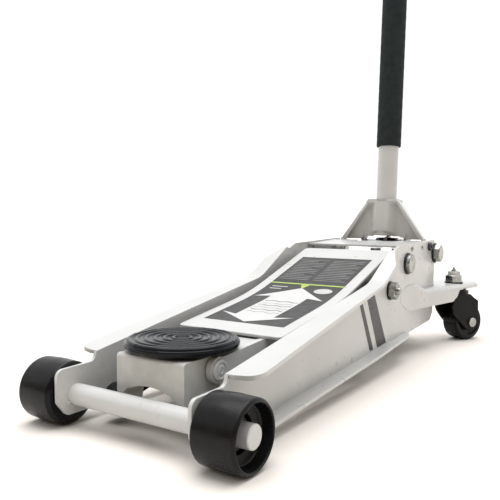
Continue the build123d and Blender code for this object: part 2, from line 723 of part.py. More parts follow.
# ---------------------------------------------------------------- handle
def sleeve(r_out, r_in, start, end):
    """A tube on the handle's axis."""
    with BuildPart() as tube:
        with BuildSketch(HANDLE.offset(start)):
            Circle(r_out)
            if r_in:
                Circle(r_in, mode=Mode.SUBTRACT)
        extrude(amount=end - start)
    return tube.part


save(sleeve(TUBE_R, 15.5, -66, FOAM_END + 16), "handle_lower_tube")
save(sleeve(FOAM_R, TUBE_R, FOAM_START, FOAM_END), "foam_sleeve")
save(sleeve(15.4, 13, 440, HANDLE_END - 5), "handle_upper_tube")
save(sleeve(18.5, 15.4, 800, 922), "hand_grip")
save(
    Compound([sleeve(16.5, 0, HANDLE_END - 5, HANDLE_END), sleeve(15.4, 0, -66, -58)]),
    "handle_plugs",
)

# ---------------------------------------------------------------- front wheels
axle_plane = Plane(
    origin=(0, FRONT_AXLE_Y, WHEEL_R), x_dir=(1, 0, 0), z_dir=(0, -1, 0)
)
axle_axis = Axis((0, FRONT_AXLE_Y, WHEEL_R), (1, 0, 0))
with BuildPart() as front_wheel:
    with BuildSketch(axle_plane):
        with BuildLine():
            FilletPolyline(
                (WHEEL_IN, AXLE_R + FIT), (WHEEL_IN, 30), (97, 34.2), (119.3, WHEEL_R), (141.5, 34.2),
                (WHEEL_OUT, 31), (142.8, 29.8), (131, 28), (128, 18), (122.8, 17),
                (122.8, AXLE_R + FIT),
                radius=[0, 3, 3, 0, 3, 1, 1, 3, 1.5, 0.5, 0], close=True,
            )
        make_face()
    revolve(axis=axle_axis)
save_pair(front_wheel.part, "front_wheel")

# ---------------------------------------------------------------- casters
# A nut on the stud clamps the bracket, and a smaller nut above it carries the grease nipple.
NUT_TOP = BRACKET_TOP + 14.5
STUD_TOP = BRACKET_TOP + 21
with BuildPart() as caster_studs:
    post(CASTER_X, CASTER_Y, 12, FORK_TOP - 9, FORK_TOP - 5)
    post(CASTER_X, CASTER_Y, 8, FORK_TOP - 5, STUD_TOP)
save(both_sides(caster_studs.part), "caster_studs")

with BuildPart() as caster_nuts:
    hexagon_post(CASTER_X, CASTER_Y, 27, BRACKET_TOP + 2, NUT_TOP)
    hexagon_post(CASTER_X, CASTER_Y, 19, NUT_TOP, STUD_TOP)
    post(CASTER_X, CASTER_Y, 8, 100, STUD_TOP, mode=Mode.SUBTRACT)
save(both_sides(caster_nuts.part), "caster_stud_nuts")

with BuildPart() as grease_nipples:
    with Locations((CASTER_X, FRONT_AXLE_Y + CASTER_Y, STUD_TOP)):
        Cone(5, 1.5, 8, align=LOW)
save(both_sides(grease_nipples.part), "grease_nipples")

fork_side = Plane(
    origin=CASTER.origin, x_dir=CASTER.y_dir, z_dir=CASTER.x_dir
)
with BuildPart() as caster_fork:
    with BuildSketch(CASTER.offset(FORK_TOP - 4.5)):
        RectangleRounded(2 * FORK_OUT, 36, 6)
    extrude(amount=4.5)
    for u in (-FORK_OUT, FORK_IN):
        extrude(
            outline(
                fork_side.offset(u),
                (-18, FORK_TOP), (19, FORK_TOP), (29, 77), (39.5, 71.5), (39.5, 50), (40, 25),
                (23, 14), (5, 26), (-8, 38), (-20, 52), (-25, 65),
                radius=[4, 6, 4, 5, 0, 14, 6, 6, 8, 6, 8],
            ),
            amount=FORK_OUT - FORK_IN,
        )
    with BuildSketch(CASTER.offset(70)):
        Circle(8 + FIT)
    extrude(amount=20, mode=Mode.SUBTRACT)
    with BuildSketch(fork_side.offset(-30)):
        with Locations((CASTER_TRAIL, CASTER_R)):
            Circle(5)
    extrude(amount=60, mode=Mode.SUBTRACT)
save_pair(caster_fork.part, "caster_fork")

with BuildPart() as swivel_race:
    post(CASTER_X, CASTER_Y, 26, FORK_TOP + 0.3, 91)
    post(CASTER_X, CASTER_Y, 21.5, 91, 95.2)
    post(CASTER_X, CASTER_Y, 15, 95.2, BRACKET_TOP - 5)
    post(CASTER_X, CASTER_Y, 8, FORK_TOP, BRACKET_TOP, mode=Mode.SUBTRACT)
save(both_sides(swivel_race.part), "caster_races")

PIN_END = FORK_OUT + 3
with BuildPart() as caster_axle:
    for u0, u1, r in (
        (-PIN_END, -FORK_OUT, 8.5), (-FORK_OUT, FORK_OUT, 5), (FORK_OUT, PIN_END, 8.5),
    ):
        with BuildSketch(fork_side.offset(u0)):
            with Locations((CASTER_TRAIL, CASTER_R)):
                Circle(r)
        extrude(amount=u1 - u0)
save_pair(caster_axle.part, "caster_axle")

with BuildPart() as caster_wheel:
    with BuildSketch(fork_side.offset(-CASTER_HALF)):
        with Locations((CASTER_TRAIL, CASTER_R)):
            Circle(CASTER_R)
    extrude(amount=2 * CASTER_HALF)
    fillet(caster_wheel.edges().filter_by(GeomType.CIRCLE), 5)
    for u0 in (-CASTER_HALF, CASTER_HALF - 4):
        with BuildSketch(fork_side.offset(u0)):
            with Locations((CASTER_TRAIL, CASTER_R)):
                Circle(24)
                Circle(11, mode=Mode.SUBTRACT)
        extrude(amount=4, mode=Mode.SUBTRACT)
    for u0 in (-CASTER_HALF - 1.2, CASTER_HALF - 1):
        with BuildSketch(fork_side.offset(u0)):
            with Locations((CASTER_TRAIL, CASTER_R)):
                Circle(9)
        extrude(amount=2.2)
    with BuildSketch(fork_side.offset(-30)):
        with Locations((CASTER_TRAIL, CASTER_R)):
            Circle(5 + FIT)
    extrude(amount=60, mode=Mode.SUBTRACT)
save_pair(caster_wheel.part, "caster_wheel")
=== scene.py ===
import json
from math import atan2, cos, exp, log, pi, radians, sin, tan

import bmesh
import bpy
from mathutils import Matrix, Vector


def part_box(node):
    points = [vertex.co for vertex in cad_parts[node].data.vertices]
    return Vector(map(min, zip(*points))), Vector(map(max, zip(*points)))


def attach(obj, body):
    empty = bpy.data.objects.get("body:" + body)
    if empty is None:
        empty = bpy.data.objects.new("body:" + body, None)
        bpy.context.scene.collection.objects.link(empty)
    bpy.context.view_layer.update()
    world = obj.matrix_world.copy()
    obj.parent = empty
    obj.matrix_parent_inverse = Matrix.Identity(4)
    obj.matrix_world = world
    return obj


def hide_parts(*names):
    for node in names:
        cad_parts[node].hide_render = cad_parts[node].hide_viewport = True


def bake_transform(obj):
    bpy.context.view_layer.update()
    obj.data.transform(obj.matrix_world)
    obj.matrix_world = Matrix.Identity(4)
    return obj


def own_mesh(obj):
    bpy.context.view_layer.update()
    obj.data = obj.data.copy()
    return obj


# A low-profile floor jack around its CAD frame. Lengths are in millimetres, and y is counted
# from the front axle towards the handle, until P turns them into metres in the row frame.
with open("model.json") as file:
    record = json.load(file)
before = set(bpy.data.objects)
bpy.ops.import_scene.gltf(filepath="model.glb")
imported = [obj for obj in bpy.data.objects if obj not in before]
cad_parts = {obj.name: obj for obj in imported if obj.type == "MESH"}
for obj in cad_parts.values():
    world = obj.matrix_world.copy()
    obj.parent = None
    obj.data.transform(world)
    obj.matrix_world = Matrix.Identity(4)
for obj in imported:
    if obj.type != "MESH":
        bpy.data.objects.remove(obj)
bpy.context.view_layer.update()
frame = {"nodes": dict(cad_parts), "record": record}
record = frame["record"]
NODE_SLOT = {s["node"]: s["material_slot"] for s in record["subparts"]}
NODE_BODY = {n: b for b, nodes in record["behaviour"]["bodies"].items() for n in nodes}
axle_low, axle_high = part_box("front_axle")
AXLE_Y = (axle_low.y + axle_high.y) / 2
MM = 0.001
SIDES = ((1, "right"), (-1, "left"))

# The CAD's driving places: how far out, along the jack and up.
PLATE_OUT = 92.5
COVER_FRONT = (154.0, 89.7)
COVER_BEND = (312.5, 113.5)
COVER_REAR = (489.0, 172.0)
LINK_PIVOT = (440, 115.5)
YOKE_PIVOT = (640, 161.5)
STUD_X, STUD_Y = 109, 709.5
HANDLE_LEAN = radians(4.18)


def P(x, y, z):
    """A point in the row frame from millimetres, with y counted from the front axle."""
    return Vector((x * MM, y * MM + AXLE_Y, z * MM))


# ---------------------------------------------------------------- materials
class Nodes:
    """Short calls for building one material's node tree."""

    def __init__(self, name):
        self.material = bpy.data.materials.new(name)
        self.material.use_nodes = True
        self.tree = self.material.node_tree
        self.shader = self.tree.nodes["Principled BSDF"]
        self.place = self.add("ShaderNodeTexCoord").outputs["Object"]

    def add(self, kind, **settings):
        node = self.tree.nodes.new(kind)
        for key, value in settings.items():
            setattr(node, key, value)
        return node

    def link(self, out, socket):
        self.tree.links.new(out, socket)

    def scaled(self, x, y, z):
        """Object coordinates stretched by a factor along each axis."""
        node = self.add("ShaderNodeMapping")
        node.inputs["Scale"].default_value = (x, y, z)
        self.link(self.place, node.inputs["Vector"])
        return node.outputs["Vector"]

    def noise(self, scale, detail=3, vector=None, rough=0.5):
        node = self.add("ShaderNodeTexNoise")
        node.inputs["Scale"].default_value = scale
        node.inputs["Detail"].default_value = detail
        node.inputs["Roughness"].default_value = rough
        self.link(vector or self.place, node.inputs["Vector"])
        return node.outputs["Fac"]

    def ramp(self, value, *stops):
        """A colour ramp from (position, colour) stops; a colour may be one grey number."""
        node = self.add("ShaderNodeValToRGB")
        elements = node.color_ramp.elements
        while len(elements) < len(stops):
            elements.new(0.5)
        for element, (position, colour) in zip(elements, stops):
            element.position = position
            grey = (colour,) * 3 if isinstance(colour, (int, float)) else colour
            element.color = (*grey, 1)
        self.link(value, node.inputs["Fac"])
        return node.outputs["Color"]

    def bump(self, height, strength, distance):
        node = self.add("ShaderNodeBump")
        node.inputs["Strength"].default_value = strength
        node.inputs["Distance"].default_value = distance
        self.link(height, node.inputs["Height"])
        return node.outputs["Normal"]

    def set(self, **values):
        for key, value in values.items():
            self.shader.inputs[key.replace("_", " ")].default_value = value


def finish_of(name, low, high, rough, bump, mottle, metal=0.0, coat=0.0, grain=None,
              specular=0.5):
    """A surface whose colour drifts between two tones, with uneven gloss and a fine relief.
    bump is (noise scale, strength, depth in metres), mottle the noise scale of the drift, and
    grain stretches the relief along axes."""
    n = Nodes(name)
    drift = n.noise(mottle, 4)
    n.link(n.ramp(drift, (0.3, low), (0.7, high)), n.shader.inputs["Base Color"])
    patch = n.noise(mottle * 2.3, 5)
    n.link(n.ramp(patch, (0.3, rough[0]), (0.75, rough[1])), n.shader.inputs["Roughness"])
    vector = n.scaled(*grain) if grain else None
    relief = n.noise(bump[0], 4, vector, 0.6)
    n.link(n.bump(relief, bump[1], bump[2]), n.shader.inputs["Normal"])
    n.set(Metallic=metal, Coat_Weight=coat, Specular_IOR_Level=specular)
    return n.material


MATERIALS = {
    "white_paint": finish_of("white_paint", (0.50, 0.505, 0.495), (0.54, 0.545, 0.535),
                             (0.26, 0.36), (420, 0.02, 0.0001), 18, coat=0.2),
    "cast_grey_paint": finish_of("cast_grey_paint", (0.42, 0.42, 0.395), (0.51, 0.51, 0.485),
                                 (0.38, 0.5), (300, 0.3, 0.0004), 60, grain=(1, 1, 0.18)),
    "black_paint": finish_of("black_paint", (0.004, 0.004, 0.004), (0.008, 0.0075, 0.007),
                             (0.25, 0.38), (300, 0.1, 0.0001), 25, specular=0.12),
    "saddle_rubber": finish_of("saddle_rubber", (0.005, 0.006, 0.008), (0.009, 0.011, 0.014),
                               (0.13, 0.2), (300, 0.02, 0.0001), 40, specular=0.14),
    "grip_rubber": finish_of("grip_rubber", (0.014, 0.014, 0.014), (0.024, 0.024, 0.024),
                             (0.5, 0.68), (900, 0.4, 0.0002), 60),
    "foam": finish_of("foam", (0.011, 0.016, 0.017), (0.019, 0.025, 0.026), (0.78, 0.92),
                      (1500, 0.5, 0.0002), 90, specular=0.2),
    "black_nylon": finish_of("black_nylon", (0.003, 0.003, 0.004), (0.007, 0.007, 0.007),
                             (0.22, 0.36), (1400, 0.25, 0.0001), 30, grain=(0.15, 1, 1),
                             specular=0.18),
    "zinc_plate": finish_of("zinc_plate", (0.20, 0.21, 0.20), (0.40, 0.41, 0.39), (0.2, 0.36),
                            (600, 0.12, 0.0001), 70, metal=1.0),
    "black_oxide": finish_of("black_oxide", (0.02, 0.02, 0.022), (0.05, 0.05, 0.052),
                             (0.3, 0.5), (500, 0.2, 0.0002), 80, metal=0.6),
    "ground_steel": finish_of("ground_steel", (0.42, 0.42, 0.43), (0.6, 0.6, 0.61), (0.2, 0.36),
                              (300, 0.2, 0.0001), 60, metal=1.0, grain=(8, 1, 1)),
    "chrome": finish_of("chrome", (0.74, 0.75, 0.77), (0.82, 0.83, 0.85), (0.05, 0.12),
                        (200, 0.04, 0.0001), 20, metal=1.0),
    "spring_steel": finish_of("spring_steel", (0.26, 0.26, 0.27), (0.42, 0.42, 0.43),
                              (0.3, 0.45), (500, 0.2, 0.0002), 60, metal=1.0),
    "cast_iron": finish_of("cast_iron", (0.02, 0.02, 0.022), (0.045, 0.045, 0.047), (0.5, 0.7),
                           (260, 0.8, 0.0008), 40),
}


# ---------------------------------------------------------------- building pieces
SHARP_ANGLE = 30.0


def piece(name, bm, body, slot, *nodes, smooth=35.0, material=None):
    """A finished mesh becomes a piece that rides on a body and may stand for CAD nodes."""
    mesh = bpy.data.meshes.new(name)
    bmesh.ops.recalc_face_normals(bm, faces=bm.faces)
    bm.to_mesh(mesh)
    bm.free()
    obj = bpy.data.objects.new(name, mesh)
    bpy.context.scene.collection.objects.link(obj)
    mesh.materials.append(material or MATERIALS[slot])
    mesh.shade_smooth()
    mesh.set_sharp_from_angle(angle=radians(smooth))
    if body:
        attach(obj, body)
    if nodes:
        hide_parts(*nodes)
    return obj


def bevelled(obj, width, segments, weights):
    """Rounds a piece's edges: all of them by width in millimetres, or by edge weights times it."""
    modifier = obj.modifiers.new("edges", "BEVEL")
    modifier.width = width * MM
    modifier.segments = segments
    modifier.limit_method = "WEIGHT" if weights else "ANGLE"
    modifier.angle_limit = radians(SHARP_ANGLE)
    modifier.miter_outer = "MITER_ARC"
    if weights:
        mesh = obj.data
        layer = mesh.attributes.new("bevel_weight_edge", "FLOAT", "EDGE")
        bm = bmesh.new()
        bm.from_mesh(mesh)
        values = [0.0] * len(mesh.edges)
        for e in bm.edges:
            if len(e.link_faces) == 2 and e.calc_face_angle(0) > radians(SHARP_ANGLE):
                values[e.index] = weights(*((v.co - P(0, 0, 0)) / MM for v in e.verts))
        bm.free()
        layer.data.foreach_set("value", values)
    shading = obj.modifiers.new("shading", "WEIGHTED_NORMAL")
    shading.keep_sharp = True


def copy_of(node, edge, segments=2, weights=None):
    """The CAD node's own shape with clean faces and rounded edges, in its slot's finish."""
    bm = bmesh.new()
    bm.from_mesh(frame["nodes"][node].data)
    bmesh.ops.remove_doubles(bm, verts=bm.verts, dist=2e-5)
    bmesh.ops.dissolve_limit(bm, angle_limit=radians(0.5), verts=bm.verts, edges=bm.edges)
    obj = piece(f"{node}_finished", bm, NODE_BODY[node], NODE_SLOT[node], node)
    bevelled(obj, edge, segments, weights)


# ---------------------------------------------------------------- shapes for the pieces
def step(a, b, t):
    """A smooth rise from 0 at a to 1 at b."""
    t = max(0.0, min(1.0, (t - a) / (b - a)))
    return t * t * (3 - 2 * t)


def turned(bm, origin, axis, profile, steps=64, wobble=None):
    """Adds a solid of revolution. profile runs in (radius, distance along axis) in millimetres,
    and wobble may move each point: it gets the angle and the point."""
    axis = Vector(axis).normalized()
    side = axis.orthogonal().normalized()
    other = axis.cross(side)
    rings = []
    for radius, along in profile:
        if radius < 1e-6:
            rings.append([bm.verts.new(origin + axis * (along * MM))])
            continue
        ring = []
        for k in range(steps):
            t = 2 * pi * k / steps
            r, a = wobble(t, radius, along) if wobble else (radius, along)
            ring.append(bm.verts.new(origin + (side * cos(t) + other * sin(t)) * (r * MM)
                                     + axis * (a * MM)))
        rings.append(ring)
    for low, high in zip(rings, rings[1:]):
        for k in range(steps):
            corners = [low[k % len(low)], low[(k + 1) % len(low)],
                       high[(k + 1) % len(high)], high[k % len(high)]]
            corners = list(dict.fromkeys(corners))
            if len(corners) > 2:
                bm.faces.new(corners)


BASE_CORNER, CHAMFER_CORNER = 999, 450


def hexagon_nut(bm, origin, axis, across, height, bore=0.0, turn=0.0):
    """Adds a hexagonal nut or bolt head with its corners chamfered at the outer end. Two marker
    radii in the profile stand for the hexagon's own edge at the base and at the chamfer."""
    flat = across / 2
    face = 0.94 * flat

    def wobble(t, r, a):
        corner = flat / cos((t + turn) % (pi / 3) - pi / 6)
        if r == BASE_CORNER:
            return corner, a
        if r == CHAMFER_CORNER:
            return corner, height - (corner - face) * 0.58
        return r, a

    profile = [(bore, 0), (BASE_CORNER, 0), (CHAMFER_CORNER, 0), (face, height)]
    profile += [(bore, height - 0.6), (bore, 0)] if bore else [(0, height)]
    turned(bm, origin, axis, profile, 48, wobble)


def skin(bm, rings):
    """Joins a run of rings with equal counts into one closed solid with flat ends."""
    count = len(rings[0])
    for low, high in zip(rings, rings[1:]):
        for k in range(count):
            bm.faces.new((low[k], low[(k + 1) % count], high[(k + 1) % count], high[k]))
    bm.faces.new(rings[0])
    bm.faces.new(rings[-1][::-1])


def coil(bm, start, end, radius, wire, turns, sides=8, steps=20):
    """Adds a helical spring of round wire between two points, with closed end turns."""
    axis = end - start
    length = axis.length / MM
    axis.normalize()
    side = axis.orthogonal().normalized()
    other = axis.cross(side)
    rings = []
    for i in range((turns + 2) * steps + 1):
        f = i / steps
        t = 2 * pi * f
        rise = min(f, 1) * wire * 2 + max(0, min(f - 1, turns)) / turns * (length - wire * 6)
        rise += max(0, f - 1 - turns) * wire * 2 + wire
        out = side * cos(t) + other * sin(t)
        centre = start + axis * (rise * MM) + out * (radius * MM)
        rings.append([bm.verts.new(centre + (out * cos(q) + axis * sin(q)) * (wire * MM))
                      for q in (2 * pi * k / sides for k in range(sides))])
    skin(bm, rings)


def bead(bm, points, radius, sides=10):
    """Adds a weld bead: a rippled worm of metal along a run of points in metres."""
    path = []
    for a, b in zip(points, points[1:]):
        steps = max(2, int((b - a).length / (0.5 * MM)))
        path += [a.lerp(b, i / steps) for i in range(steps)]
    path.append(points[-1])
    rings = []
    for i, place in enumerate(path):
        ahead = (path[min(i + 1, len(path) - 1)] - path[max(i - 1, 0)]).normalized()
        side = ahead.orthogonal().normalized()
        other = ahead.cross(side)
        end = min(1.0, (min(i, len(path) - 1 - i) + 1) / 4)
        r = radius * end * (1 + 0.1 * sin(i * 1.6) + 0.06 * sin(i * 0.37)) * MM
        rings.append([bm.verts.new(place + (side * cos(q) + other * sin(q)) * r)
                      for q in (2 * pi * k / sides for k in range(sides))])
    skin(bm, rings)


def printed(name, polygons, surface, material, body, slot, cuts=()):
    """Flat printed areas laid on a surface: polygons in two surface lengths, cut into narrow
    strips along the second one so that they can follow a bend."""
    bm = bmesh.new()
    for polygon in polygons:
        bm.faces.new([bm.verts.new((a * MM, b * MM, 0)) for a, b in polygon])
    for cut in cuts:
        bmesh.ops.bisect_plane(bm, geom=bm.verts[:] + bm.edges[:] + bm.faces[:],
                               plane_co=(0, cut * MM, 0), plane_no=(0, 1, 0))
    bm.normal_update()
    bmesh.ops.triangulate(bm, faces=bm.faces)
    for v in bm.verts:
        v.co = surface(v.co.x / MM, v.co.y / MM)
    piece(name, bm, body, slot, material=material)


# ---------------------------------------------------------------- copies of the CAD shapes
def slope(low, high):
    return atan2(high[1] - low[1], high[0] - low[0])


COVER_SLOPE = slope(COVER_FRONT, COVER_BEND)
REAR_SLOPE = slope(COVER_BEND, COVER_REAR)
BEND_R = 520.0
BEND_RUN = BEND_R * tan((REAR_SLOPE - COVER_SLOPE) / 2)
BEND_START = (COVER_BEND[0] - BEND_RUN * cos(COVER_SLOPE),
              COVER_BEND[1] - BEND_RUN * sin(COVER_SLOPE))
BEND_CENTRE = (BEND_START[0] - BEND_R * sin(COVER_SLOPE),
               BEND_START[1] + BEND_R * cos(COVER_SLOPE))
BEND_END = COVER_BEND[0] + BEND_RUN * cos(REAR_SLOPE)


def cover_z(y):
    """The height of the arm cover's top, y from the front axle."""
    if y < BEND_START[0]:
        return COVER_FRONT[1] + (y - COVER_FRONT[0]) * tan(COVER_SLOPE)
    if y < BEND_END:
        return BEND_CENTRE[1] - (BEND_R ** 2 - (y - BEND_CENTRE[0]) ** 2) ** 0.5
    return COVER_REAR[1] - (COVER_REAR[0] - y) * tan(REAR_SLOPE)


PLATE_IN = PLATE_OUT - 4
PLATE_BEND_R = 4.5
FLANGE_RUN = (29, 450)
FLANGE_LOW = 76
EASED_SHARE = 0.16


def plate_bend(a, b):
    """The side plate is bent over its top flange; its other edges are only eased."""
    bend = all(abs(abs(p.x) - PLATE_IN) < 0.2 and p.z > FLANGE_LOW
               and FLANGE_RUN[0] < p.y < FLANGE_RUN[1] for p in (a, b))
    return 1.0 if bend else EASED_SHARE


PLAIN_EDGE = 0.4
EDGES = {"saddle_block": 1.6, "foam_sleeve": 2.0, "arm_cover": 0.9, "caster_fork_left": 1.7,
         "caster_fork_right": 1.7, "handle_yoke": 1.1, "hand_grip": 1.5, "rear_cover": 0.6,
         "front_wheel_left": 0.35, "front_wheel_right": 0.35, "saddle_dish": 0.8,
         "caster_wheel_left": 0.6, "caster_wheel_right": 0.6, "pump_block": 1.5}
OWN_SHAPE = {"pump_springs", "return_springs", "saddle_pad", "link_pivot_nuts", "pivot_bolts",
             "caster_stud_nuts", "caster_studs", "grease_nipples", "saddle_pivot_pins",
             "side_plate_left", "side_plate_right", "caster_brackets", "foam_sleeve"}
for node in frame["nodes"]:
    if node not in OWN_SHAPE:
        copy_of(node, EDGES.get(node, PLAIN_EDGE))
for side in ("left", "right"):
    copy_of(f"side_plate_{side}", PLATE_BEND_R, 4, plate_bend)

# ---------------------------------------------------------------- springs
PUMP_SPRING_Y, PUMP_SPRING_FOOT, PUMP_SPRING_TOP = 660.5, 122, 161.2
RETURN_SPRING_Z = 88
HOOK_FRONT = 512 + 66 * sin(radians(25)) + 6
HOOK_REAR = 614

bm = bmesh.new()
for x in (-21, 21):
    coil(bm, P(x, PUMP_SPRING_Y, PUMP_SPRING_FOOT), P(x, PUMP_SPRING_Y, PUMP_SPRING_TOP),
         10.2, 1.2, 6)
springs = piece("pump_return_coils", bm, "frame", "spring_steel", "pump_springs")
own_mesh(springs)
bm = bmesh.new()
for x in (-40, 40):
    coil(bm, P(x, HOOK_FRONT, RETURN_SPRING_Z), P(x, HOOK_REAR, RETURN_SPRING_Z), 4.6, 0.9, 14)
springs = piece("lever_return_coils", bm, None, "spring_steel", "return_springs")
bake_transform(springs)

# ---------------------------------------------------------------- caster brackets
# Each bracket is one pressing: a flaring wall that turns over into the plate above the caster.
BRACKET_FRONT, BRACKET_REAR, BRACKET_SHEET = 484, 792, 5
BRACKET_IN = PLATE_OUT - 0.1


def along_run(y, *points):
    """A smooth value read between (y, value) points."""
    for (y0, v0), (y1, v1) in zip(points, points[1:]):
        if y <= y1:
            return v0 + (v1 - v0) * step(y0, y1, y)
    return points[-1][1]


def bracket_section(y):
    """The closed outline of the pressing at one distance along the jack, in x and z."""
    outer = 92.7 + 0.19 * 9 * log(1 + exp((y - 512) / 9))
    outer = along_run(y, (752, outer), (772, 136.5), (786, 130), (792, 118)) if y > 752 else outer
    inner = along_run(y, (652, BRACKET_IN), (668, 70), (742, 70), (792, 114))
    low = along_run(y, (484, 92), (512, 78), (532, 75), (664, 75.4), (676, 81), (692, 96),
                    (752, 98.9))
    top = along_run(y, (484, 102), (512, 116), (540, 116), (590, 104))
    under = top - BRACKET_SHEET
    bend = min(10.0, outer - 92.45)
    wall = max(outer - BRACKET_SHEET, inner)
    loop = [(outer, low)]
    loop += [(outer - bend + bend * cos(t), top - bend + bend * sin(t))
             for t in (pi / 2 * k / 8 for k in range(9))]
    loop += [(inner, top), (inner, under)]
    inside = min(5.0, max(0.05, wall - inner))
    loop += [(wall - inside + inside * sin(t), max(min(low, under), under - inside * (1 - cos(t))))
             for t in (pi / 2 * k / 5 for k in range(6))]
    return loop + [(wall, low)]


bm = bmesh.new()
STATIONS = list(range(BRACKET_FRONT, BRACKET_REAR, 4)) + [BRACKET_REAR]
for x, _ in SIDES:
    skin(bm, [[bm.verts.new(P(x * a, y, b)) for a, b in bracket_section(y)] for y in STATIONS])
bmesh.ops.remove_doubles(bm, verts=bm.verts, dist=1e-5)
piece("caster_bracket_pressings", bm, "frame", "white_paint", "caster_brackets", smooth=38)

# ---------------------------------------------------------------- nuts, bolts and pins
bm = bmesh.new()
for x, _ in SIDES:
    hexagon_nut(bm, P(94.7 * x, *LINK_PIVOT), (x, 0, 0), 23, 9.3, 6, 0.3)
piece("link_nuts_chamfered", bm, "frame", "zinc_plate", "link_pivot_nuts", smooth=25)
bm = bmesh.new()
for x, _ in SIDES:
    hexagon_nut(bm, P(97 * x, *YOKE_PIVOT), (x, 0, 0), 27, 10, 0, 0.2)
    turned(bm, P(72 * x, *YOKE_PIVOT), (x, 0, 0), [(0, 0), (8, 0), (8, 25.2), (0, 25.2)])
    hexagon_nut(bm, P(60.4 * x, *LINK_PIVOT), (-x, 0, 0), 22, 4.2, 0, 0.4)
    thread = [(0, 0), (6, 0), (6, 33)]
    thread += [(6 - 0.5 * (k % 2), 34 + 0.75 * k) for k in range(18)]
    turned(bm, P(60.4 * x, *LINK_PIVOT), (x, 0, 0), thread + [(4.8, 48.4), (0, 48.6)])
piece("pivot_bolts_chamfered", bm, "frame", "zinc_plate", "pivot_bolts", smooth=25)
bm = bmesh.new()
for x, _ in SIDES:
    hexagon_nut(bm, P(STUD_X * x, STUD_Y, 106), (0, 0, 1), 27, 12.5, 8, 0.15)
    hexagon_nut(bm, P(STUD_X * x, STUD_Y, 118.5), (0, 0, 1), 19, 6.5, 8, 0.5)
piece("stud_nuts_chamfered", bm, "frame", "zinc_plate", "caster_stud_nuts", smooth=25)
bm = bmesh.new()
for x, _ in SIDES:
    thread = [(0, 75.5), (12, 75.5), (12, 79.5), (8, 79.6), (8, 118)]
    thread += [(8 - 0.5 * (k % 2), 118.4 + 0.8 * k) for k in range(8)]
    turned(bm, P(STUD_X * x, STUD_Y, 0), (0, 0, 1), thread + [(7.4, 124.8), (0, 124.8)], 48)
piece("studs_threaded", bm, "frame", "zinc_plate", "caster_studs", smooth=25)
bm = bmesh.new()
for x, _ in SIDES:
    hexagon_nut(bm, P(STUD_X * x, STUD_Y, 124.9), (0, 0, 1), 9, 2.6)
    turned(bm, P(STUD_X * x, STUD_Y, 0), (0, 0, 1),
           [(0, 127), (3.4, 127), (3.2, 128.4), (2.0, 129.2), (2.4, 130.6), (2.3, 131.6),
            (1.2, 132.8), (0.5, 133), (0, 132.6)], 32)
piece("nipples_turned", bm, "frame", "zinc_plate", "grease_nipples", smooth=40)
bm = bmesh.new()
for x, _ in SIDES:
    turned(bm, P(0, 66, 68), (x, 0, 0),
           [(0, 20.5), (7.4, 20.5), (8, 21.2), (8, 55.1), (11.3, 55.1), (11.5, 55.6), (11.5, 57),
            (10.9, 57.8), (9.6, 58.4), (8.2, 58.4), (7.6, 57.6), (6, 57.5), (5.4, 58.2),
            (3.4, 58.4), (2.8, 57.4), (0, 57.3)])
piece("saddle_pins_turned", bm, "lift_arm", "white_paint", "saddle_pivot_pins", smooth=50)

# ---------------------------------------------------------------- saddle pad
def pad_rim(t, r, z):
    """Small raised tabs stand round the rim."""
    if 55.2 < r < 62.8 and z > 92 and cos(t * 12) > 0.9:
        return r + 0.15, z + 0.2
    return r, z


profile = [(0, 88), (56.8, 88), (57.3, 87.6), (57.3, 85.4), (59.6, 85.2), (61.8, 86.4),
           (62.9, 88), (63, 91), (62.6, 91.8), (61.5, 92.2), (61.3, 92.6), (61.2, 93.6),
           (60.6, 94.6), (59.4, 95.3), (58.2, 95.6), (56.8, 95.6), (55.6, 94.9), (55, 94.1)]
for r in (50, 40, 30, 20, 10):
    profile += [(r + 3.2, 94), (r + 2.2, 94.3), (r + 1.4, 95.2), (r + 0.6, 95.7), (r - 0.8, 95.7),
                (r - 1.6, 95.2), (r - 2.4, 94.3), (r - 3.4, 94)]
bm = bmesh.new()
turned(bm, P(0, 72.7, 0), (0, 0, 1), profile + [(3, 94), (0, 94)], 192, pad_rim)
piece("saddle_pad_ridged", bm, "saddle", "saddle_rubber", "saddle_pad", smooth=50)

# ---------------------------------------------------------------- foam sleeve
UP = Vector((0, sin(HANDLE_LEAN), cos(HANDLE_LEAN)))
HANDLE_FOOT = P(0, 655, 258)
FOAM_LOW, FOAM_HIGH, FOAM_BORE, FOAM_R = 94, 514, 18.05, 21.9
bm = bmesh.new()
profile = [(FOAM_BORE, FOAM_LOW), (20, FOAM_LOW), (21.3, FOAM_LOW + 0.6), (FOAM_R, FOAM_LOW + 2)]
profile += [(FOAM_R - 0.12 * (k % 3), FOAM_LOW + 2 + 6 * k) for k in range(1, 69)]
profile += [(FOAM_R, FOAM_HIGH - 2), (21.3, FOAM_HIGH - 0.6), (20, FOAM_HIGH),
            (FOAM_BORE, FOAM_HIGH), (FOAM_BORE, FOAM_LOW)]
turned(bm, HANDLE_FOOT, UP, profile, 48)
piece("foam_sleeve_soft", bm, "handle", "foam", "foam_sleeve", smooth=60)

# ---------------------------------------------------------------- pressed face of the yoke
FRONT = Vector((0, -cos(HANDLE_LEAN), sin(HANDLE_LEAN)))
FACE_LOW, FACE_HEIGHT = -75, 72
FACE_FOOT_HALF, FACE_TOP_HALF = 78, 26
FACE_DEPTH, FACE_SHEET = 8.4, 2.6
ARCH_ROWS, ARCH_HALF = 3.6, 38


def face_half(along):
    """Half the width of the pressed face, which narrows towards the handle."""
    return FACE_FOOT_HALF + (FACE_TOP_HALF - FACE_FOOT_HALF) * (along - FACE_LOW) / FACE_HEIGHT


